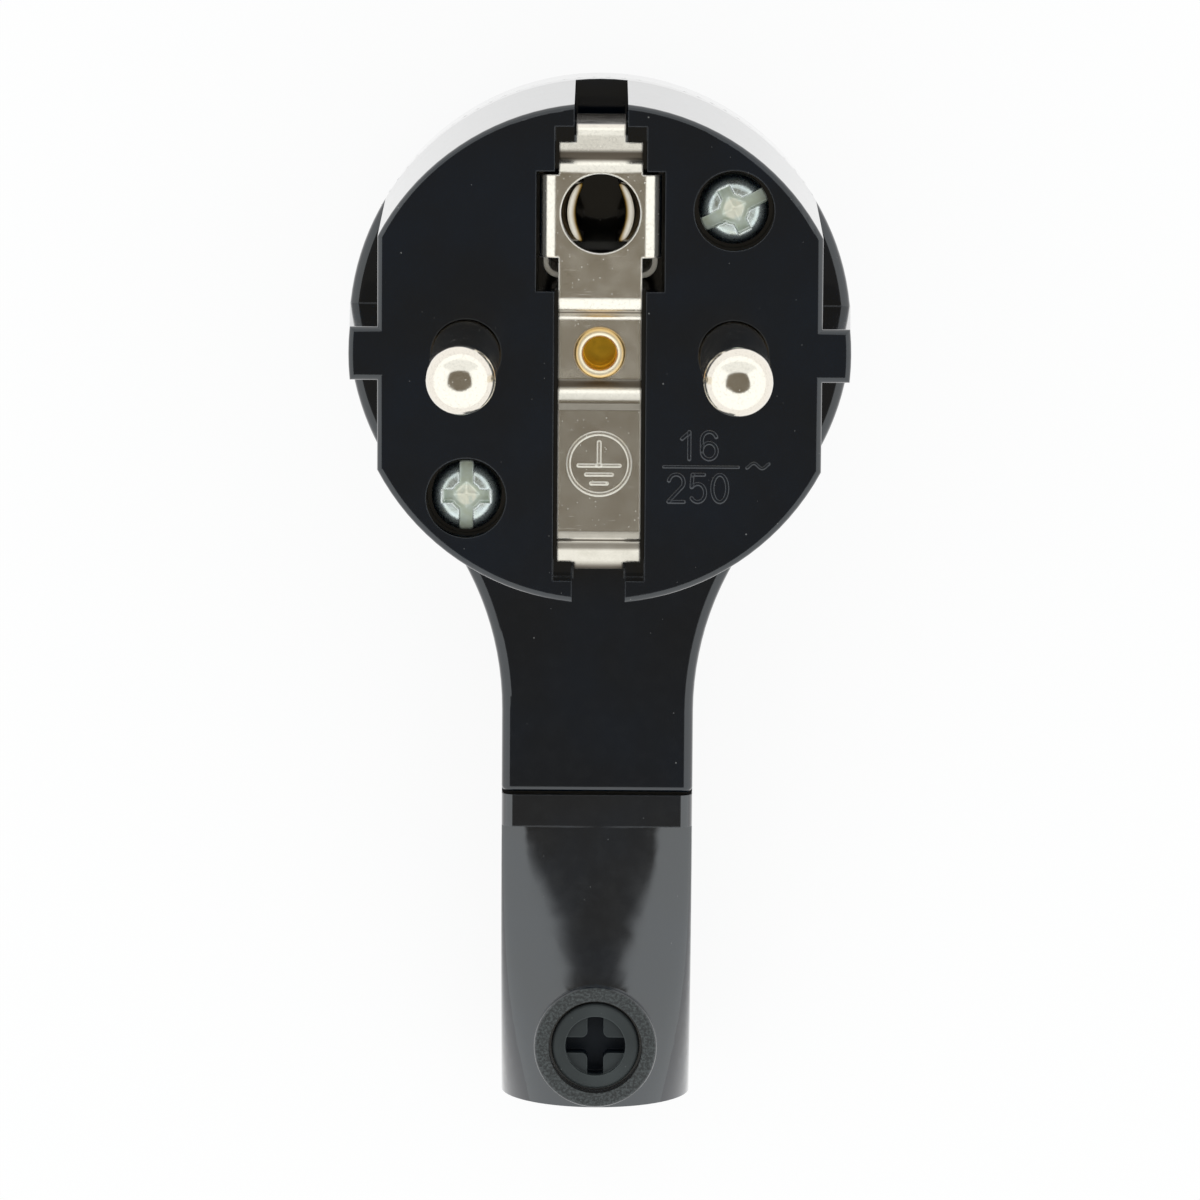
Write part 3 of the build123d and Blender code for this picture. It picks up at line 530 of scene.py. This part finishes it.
def bead(path, half_width, half_height, z, closed=False, caps=8, around=20):
    """A rounded line that lies half sunk in a flat surface.

    Its cross-section is a flat-topped oval, carried along a flat path: point (s, t) is the path at s
    plus the signed root of cos t half widths across it and the signed root of sin t half heights up.
    An open line gets round ends, where the oval shrinks along a quarter circle to a point.
    """
    if closed:
        along = unit(np.roll(path, -1, axis=0) - np.roll(path, 1, axis=0))
        size = np.ones(len(path))
    else:
        along = unit(np.gradient(path, axis=0))
        turn = np.linspace(0, np.pi / 2, caps, endpoint=False)
        reach = half_width * np.cos(turn)[:, None]
        head = path[0] - along[0] * reach
        tail = path[-1] + along[-1] * reach[::-1]
        size = np.concatenate([np.sin(turn), np.ones(len(path)), np.sin(turn)[::-1]])
        path = np.vstack([head, path, tail])
        along = np.vstack([np.repeat(along[:1], caps, 0), along, np.repeat(along[-1:], caps, 0)])
    across = np.stack([-along[:, 1], along[:, 0]], axis=1)
    t = np.linspace(0, 2 * np.pi, around, endpoint=False)
    wide, high = (np.sign(wave) * np.sqrt(np.abs(wave)) for wave in (np.cos(t), np.sin(t)))
    width = half_width * size[:, None] * wide
    points = np.empty((len(path), around, 3))
    points[..., :2] = path[:, None, :] + across[:, None, :] * width[..., None]
    points[..., 2] = z + half_height * size[:, None] * high
    return closed_surface(points, rows_closed=closed)


def closed_surface(points, rows_closed):
    """Vertices and faces of a grid whose columns close, and whose rows close or end in points."""
    rows, columns = points.shape[:2]
    index = np.arange(rows * columns).reshape(rows, columns)
    if rows_closed:
        following = np.roll(index, -1, axis=0)
        fans = np.empty((0, 3), int)
    else:
        index[0] = index[0, 0]
        index[-1] = index[-1, 0]
        following = index[1:]
        fans = np.vstack(
            [
                np.stack([index[0], np.roll(index[1], -1), index[1]], axis=1),
                np.stack([index[-1], index[-2], np.roll(index[-2], -1)], axis=1),
            ]
        )
        index, following = index[1:-2], following[1:-1]
    quads = np.stack(
        [index, np.roll(index, -1, axis=1), np.roll(following, -1, axis=1), following], axis=-1
    )
    return points.reshape(-1, 3), quads.reshape(-1, 4), fans


def surface_piece(name, surfaces, material):
    """One object from closed surfaces, facing outwards, riding on the plug."""
    vertices, faces, start = [], [], 0
    for points, quads, fans in surfaces:
        halves = np.vstack([quads[:, [0, 1, 2]], quads[:, [0, 2, 3]], fans])
        a, b, c = (points[halves[:, corner]] for corner in range(3))
        turn = 1 if np.einsum("ij,ij->", a, np.cross(b, c)) > 0 else -1
        used, places = np.unique(np.concatenate([quads.ravel(), fans.ravel()]), return_inverse=True)
        quads, fans = places[: quads.size].reshape(-1, 4), places[quads.size :].reshape(-1, 3)
        vertices.append(points[used])
        faces += (quads[:, ::turn] + start).tolist() + (fans[:, ::turn] + start).tolist()
        start += len(used)
    mesh = bpy.data.meshes.new(name)
    mesh.from_pydata(np.vstack(vertices).tolist(), [], faces)
    mesh.polygons.foreach_set("use_smooth", np.ones(len(mesh.polygons), bool))
    mesh.materials.append(material)
    piece = bpy.data.objects.new(name, mesh)
    bpy.context.scene.collection.objects.link(piece)
    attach(piece, BODY)


def digit(figure):
    """The lines of a figure one unit high, standing on the middle of its foot."""
    top, foot, side = 1.0, 0.0, 0.27
    neck = [arc((0, 0.72), (side, 0.28), 170, -38), line((-0.24, 0.06), (-0.28, foot))]
    loop = [arc((0, 0.7), (side, 0.3), 22, 180), arc((0, 0.3), (side, 0.3), 189, 540)]
    figures = {
        "0": [(arc((0, 0.5), (side, 0.5), 0, 351), True)],
        "1": [(line((-0.2, 0.74), (0.07, 0.98)), False), (line((0.07, top), (0.07, foot)), False)],
        "2": [(np.vstack(neck), False), (line((-0.28, foot), (0.28, foot)), False)],
        "5": [
            (line((0.22, top), (-0.2, top)), False),
            (line((-0.2, top), (-0.24, 0.54)), False),
            (arc((-0.01, 0.33), (side, 0.33), 140, -145), False),
        ],
        "6": [(np.vstack(loop), False)],
    }
    return figures[figure]


class PLUG_OT_mouldings(bpy.types.Operator):
    """Finish the pin carrier and the rear housing in black moulded plastic"""

    bl_idname = "plug.mouldings"
    bl_label = "Mouldings"

    def execute(self, context):
        colours = context.scene.plug_colours
        low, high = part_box("cord_clamp_screw")
        x, y = (low.x + high.x) / 2 / MM, (low.y + high.y) / 2 / MM
        rim = (x, y, (high.x - low.x) / 2 / MM + BOSS_RIM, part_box("rear_housing")[1].z / MM)
        finish = {
            "tint": colours.body,
            "roughness": 0.08,
            "grain_depth": 0.0015 * MM,
            "colours": colours,
            "ior": 1.52,
        }
        dress(["pin_carrier"], moulded_plastic("black moulded plastic", gloss=0.8, **finish))
        glossy = moulded_plastic(
            "glossy moulded plastic", gloss=1.0, gloss_ior=1.7, rim=rim, **finish
        )
        dress(["rear_housing"], glossy)
        return {"FINISHED"}


class PLUG_OT_clamp_screw(bpy.types.Operator):
    """Finish the cord clamp screw in satin plastic"""

    bl_idname = "plug.clamp_screw"
    bl_label = "Cord clamp screw"

    def execute(self, context):
        colours = context.scene.plug_colours
        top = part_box("cord_clamp_screw")[1].z / MM
        # Painted shade in the screw's recess, from its top downwards
        plastic = moulded_plastic(
            "satin moulded plastic",
            tint=colours.clamp,
            roughness=0.45,
            grain_depth=0.01 * MM,
            colours=colours,
            ior=1.3,
            gloss=0.0,
            recess=top,
        )
        dress(["cord_clamp_screw"], plastic)
        return {"FINISHED"}


class PLUG_OT_contacts(bpy.types.Operator):
    """Finish the pins, the earth strip and its spring"""

    bl_idname = "plug.contacts"
    bl_label = "Contacts"

    def execute(self, context):
        colours = context.scene.plug_colours
        face, strip = FACE_Z / MM, STRIP_Z / MM
        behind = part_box("line_pin")[0].y / MM - 1
        # Painted shade on the pins below the face; the pins take the bright nickel all over
        turned = plated_nickel(
            "turned nickel plate",
            colours,
            direction=(1.5, 1.5, 9.0),
            roughness=0.05,
            shade_from=face,
            edge_width=1,
            brightened_from=behind,
        )
        dress(["line_pin", "neutral_pin"], turned)
        # Painted shade deep in the well and along the creases, and a painted highlight past the seat
        rolled = plated_nickel(
            "rolled nickel plate",
            colours,
            direction=(9.0, 1.5, 1.5),
            roughness=0.11,
            shade_from=strip - 1.45,
            edge_width=1.8,
            creases=STRIP_CREASES,
            brightened_from=SEAT_END,
        )
        dress(["earth_strip"], rolled)
        dress(["earth_spring"], spring_steel(colours))
        return {"FINISHED"}


class PLUG_OT_earth_terminal(bpy.types.Operator):
    """Finish the riveted earth terminal in bare brass"""

    bl_idname = "plug.earth_terminal"
    bl_label = "Earth terminal"

    def execute(self, context):
        dress(["earth_terminal"], turned_brass(context.scene.plug_colours))
        return {"FINISHED"}


class PLUG_OT_screws(bpy.types.Operator):
    """Finish the housing screws and the terminal screws in bright zinc"""

    bl_idname = "plug.screws"
    bl_label = "Screws"

    def execute(self, context):
        dress(["housing_screws", "terminal_screws"], bright_zinc(context.scene.plug_colours))
        return {"FINISHED"}


class PLUG_OT_contact_lips(bpy.types.Operator):
    """Add the sprung lips of the contact leaves, seen in the earth hole

    A lip's section slopes down towards the pin along an arc, ever steeper, and ends in a blunt foot.
    It is carried along a shallow parabola and shrinks to a point at both ends.
    """

    bl_idname = "plug.contact_lips"
    bl_label = "Contact lips"

    def execute(self, context):
        sizes = context.scene.plug_sizes
        width, height = sizes.lip_width, sizes.lip_height
        flattest, steepest = 3, 48
        slope = np.radians(np.linspace(flattest, steepest, 12))
        bow = width / (np.sin(slope[-1]) - np.sin(slope[0]))
        inward = bow * (np.sin(slope) - np.sin(slope[0]))
        fall = bow * (np.cos(slope[0]) - np.cos(slope))
        # The blunt foot and the way back up the outside
        inward = np.concatenate([inward, [1.06 * width, 1.06 * width, 0.25 * width, 0]])
        fall = np.concatenate([fall, [0.75 * height, height, height, 0.3 * height]])
        along = sizes.lip_reach * np.linspace(-1, 1, 40)
        taper = np.sqrt(np.clip(1 - (along / sizes.lip_reach) ** 6, 0, 1))[:, None]
        outer = sizes.lip_gap / 2 + width - along**2 / (2 * sizes.lip_curve)
        lips = []
        for side in (-1, 1):
            points = np.empty((len(along), len(inward), 3))
            middle = outer[:, None] - width / 2
            points[..., 0] = EARTH_HOLE[0] + side * (middle + (width / 2 - inward) * taper)
            points[..., 1] = EARTH_HOLE[1] + along[:, None]
            points[..., 2] = STRIP_Z - sizes.lip_depth - height / 2 + (height / 2 - fall) * taper
            lips.append(closed_surface(points, rows_closed=False))
        top = (STRIP_Z - sizes.lip_depth) / MM
        # Painted shade on the lips, from just above their top downwards
        worn = plated_nickel(
            "worn nickel plate",
            context.scene.plug_colours,
            direction=(1.5, 9.0, 1.5),
            roughness=0.28,
            shade_from=top + 0.06,
            edge_width=1,
            worn_from=top - 0.04,
        )
        surface_piece("contact_lips", lips, worn)
        return {"FINISHED"}


class PLUG_OT_earth_mark(bpy.types.Operator):
    """Stamp the earth sign on the strip: a ring, a stem and three bars"""

    bl_idname = "plug.earth_mark"
    bl_label = "Earth mark"

    def execute(self, context):
        sizes = context.scene.plug_sizes
        half, relief = sizes.earth_line / 2, sizes.earth_relief
        ring = arc((0, sizes.earth_y), (sizes.earth_ring, sizes.earth_ring), 0, 357, 120)
        lines = [bead(ring, half, relief, STRIP_Z, closed=True)]
        bar_half = 0.85 * half
        bar_y = sizes.earth_y - sizes.earth_drop
        lines.append(bead(line((0, bar_y), (0, bar_y + sizes.earth_stem)), half, relief, STRIP_Z))
        for step, share in enumerate(EARTH_BARS):
            reach = share * sizes.earth_bar / 2 - half
            y = bar_y - step * sizes.earth_bar_step
            lines.append(bead(line((-reach, y), (reach, y)), bar_half, relief, STRIP_Z))
        plate = NODES["earth_strip"].material_slots[0].material
        surface_piece("earth_mark", lines, plate)
        return {"FINISHED"}


class PLUG_OT_rating_numbers(bpy.types.Operator):
    """Raise the rating numbers, the line between them and a wave on the face"""

    bl_idname = "plug.rating_numbers"
    bl_label = "Rating numbers"

    def execute(self, context):
        sizes = context.scene.plug_sizes
        half, relief = sizes.number_line / 2, sizes.number_relief
        height = sizes.number_height - sizes.number_line
        pitch = 0.69 * sizes.number_height
        clear, shift = 0.55 * MM, 0.2 * MM
        thin = 0.8 * half
        x, y = sizes.number_x, sizes.number_y
        rows = (("16", y + clear), ("250", y - clear - height))
        lines = []
        for figures, foot in rows:
            for place, figure in enumerate(figures):
                middle = (x - shift + pitch * (place - (len(figures) - 1) / 2), foot)
                for path, closed in digit(figure):
                    lines.append(bead(height * path + middle, half, relief, FACE_Z, closed))
        reach = sizes.number_bar / 2
        lines.append(bead(line((x - reach, y), (x + reach, y)), thin, relief, FACE_Z))
        wave_reach, wave_height = 0.78 * MM, 0.19 * MM
        wave_place = (x + 4.05 * MM, y + 0.1 * MM)
        t = np.linspace(-1, 1, 40)
        wave = np.stack([wave_reach * t, -wave_height * np.sin(1.3 * np.pi * t)], axis=1)
        lines.append(bead(wave + wave_place, thin, relief, FACE_Z))
        plastic = NODES["pin_carrier"].material_slots[0].material
        surface_piece("rating_numbers", lines, plastic)
        return {"FINISHED"}


class PLUG_OT_stage(bpy.types.Operator):
    """Set up the floor, the light tent and the camera"""

    bl_idname = "plug.stage"
    bl_label = "Stage"

    def execute(self, context):
        stage = context.scene.plug_stage
        context.scene.view_settings.view_transform = "Standard"
        self.floor(stage)
        self.tent(context, stage)
        self.camera(context, stage)
        return {"FINISHED"}

    def floor(self, stage):
        """A round floor just under the plug, from rings of a growing radius."""
        t = np.linspace(0, 2 * np.pi, 64, endpoint=False)
        radii = np.array([1e-4, 0.05, 0.2, 0.8, 3.0])[:, None]
        below = -0.02 * MM
        shape = (len(radii), len(t))
        points = np.stack([radii * np.cos(t), radii * np.sin(t), np.full(shape, below)], axis=-1)
        index = np.arange(points.size // 3).reshape(shape)
        quads = np.stack(
            [index[:-1], index[1:], np.roll(index[1:], -1, 1), np.roll(index[:-1], -1, 1)], axis=-1
        )
        mesh = bpy.data.meshes.new("floor")
        faces = quads.reshape(-1, 4).tolist() + [index[0].tolist()]
        mesh.from_pydata(points.reshape(-1, 3).tolist(), [], faces)
        floor = bpy.data.objects.new("floor", mesh)
        bpy.context.scene.collection.objects.link(floor)
        material, paint = new_paint("pale floor")
        through, direct, mirrored = (
            paint.node("ShaderNodeLightPath", out=f"Is {kind} Ray")
            for kind in ("Transmission", "Camera", "Glossy")
        )
        seen = through + direct + mirrored
        plain = paint.node("ShaderNodeBsdfDiffuse", {}, {"Color": rgba(stage.floor)})
        glow = paint.node("ShaderNodeEmission", {}, {"Color": WHITE, "Strength": 1.0})
        share = seen * stage.floor_glow
        mixed = paint.node("ShaderNodeMixShader", {}, {0: share, 1: plain, 2: glow})
        paint.node("ShaderNodeOutputMaterial", {}, {"Surface": mixed})
        mesh.materials.append(material)

    def tent(self, context, stage):
        """A white tent all round, with a dull gap overhead that the camera looks through.

        Directions are slopes from straight up. A fan-shaped flap on the earth side is a little dimmer.
        """
        world = bpy.data.worlds.new("light tent")
        context.scene.world = world
        paint = Paint(world)
        direction = paint.node("ShaderNodeTexCoord", out="Generated")
        x, y, z = paint.split(direction)
        lowest = 0.05
        height = z.maths("MAXIMUM", z, lowest)
        across, along = x / height, y / height
        gap = 1.0
        for shade, edge, sign, blur in (
            (across, stage.gap_left, -1, stage.gap_blur),
            (across, stage.gap_right, 1, stage.gap_blur),
            (along, stage.gap_earth, 1, stage.gap_blur),
            (along, stage.gap_tail, -1, stage.tail_blur),
        ):
            gap = gap * (shade * sign).rise(tan(edge) + blur, tan(edge) - blur)
        aside = x.maths("ABSOLUTE", across)
        fan, flap_blur = 1.35, 0.3
        flap = (fan * along - aside).rise(0.05, 0.15)
        flap = flap * along.rise(tan(stage.flap_end) + flap_blur, tan(stage.flap_end) - flap_blur)
        seen = paint.node("ShaderNodeLightPath", out="Is Camera Ray")
        tent = rgba([stage.tent * part for part in stage.tent_tint])
        dim = rgba([stage.flap * part for part in tent[:3]])
        light = paint.blend(gap, paint.blend(flap, tent, dim), rgba(stage.gap))
        light = paint.blend(seen, light, WHITE)
        background = paint.node("ShaderNodeBackground", {}, {"Color": light, "Strength": 1.0})
        paint.node("ShaderNodeOutputWorld", {}, {"Surface": background})

    def camera(self, context, stage):
        """A long lens over the face, leaning towards the earth hole."""
        data = bpy.data.cameras.new("camera")
        data.lens = stage.lens
        data.sensor_width = 36
        data.clip_start = 0.01
        camera = bpy.data.objects.new("camera", data)
        context.scene.collection.objects.link(camera)
        turn = Matrix.Rotation(-stage.tilt, 4, "X") @ Matrix.Rotation(stage.roll, 4, "Z")
        target = Vector((stage.target_x, stage.target_y, FACE_Z))
        back = Matrix.Translation((0, 0, stage.distance))
        camera.matrix_world = Matrix.Translation(target) @ turn @ back
        context.scene.camera = camera


OPERATORS = (
    PLUG_OT_mouldings,
    PLUG_OT_clamp_screw,
    PLUG_OT_contacts,
    PLUG_OT_earth_terminal,
    PLUG_OT_screws,
    PLUG_OT_contact_lips,
    PLUG_OT_earth_mark,
    PLUG_OT_rating_numbers,
    PLUG_OT_stage,
)


class PLUG_PT_panel(bpy.types.Panel):
    """Lists the plug's pieces and its settings"""

    bl_idname = "PLUG_PT_panel"
    bl_label = "Flat mains plug"
    bl_space_type = "VIEW_3D"
    bl_region_type = "UI"
    bl_category = "Plug"

    def draw(self, context):
        column = self.layout.column()
        for operator in OPERATORS:
            column.operator(operator.bl_idname)
        for group in (context.scene.plug_sizes, context.scene.plug_colours, context.scene.plug_stage):
            for name in group.__annotations__:
                column.prop(group, name)


GROUPS = {"plug_sizes": PlugMarkSizes, "plug_colours": PlugColours, "plug_stage": PlugStage}


def register():
    for group in GROUPS.values():
        bpy.utils.register_class(group)
    for operator in OPERATORS:
        bpy.utils.register_class(operator)
    bpy.utils.register_class(PLUG_PT_panel)
    for name, group in GROUPS.items():
        setattr(bpy.types.Scene, name, bpy.props.PointerProperty(type=group))


def unregister():
    for name in GROUPS:
        delattr(bpy.types.Scene, name)
    for kind in (PLUG_PT_panel, *reversed(OPERATORS), *reversed(GROUPS.values())):
        bpy.utils.unregister_class(kind)


def main():
    """Registers the add-on, dresses the plug and sets the stage."""
    register()
    bpy.ops.plug.mouldings()
    bpy.ops.plug.clamp_screw()
    bpy.ops.plug.contacts()
    bpy.ops.plug.earth_terminal()
    bpy.ops.plug.screws()
    bpy.ops.plug.contact_lips()
    bpy.ops.plug.earth_mark()
    bpy.ops.plug.rating_numbers()
    bpy.ops.plug.stage()


if __name__ == "__main__":
    main()
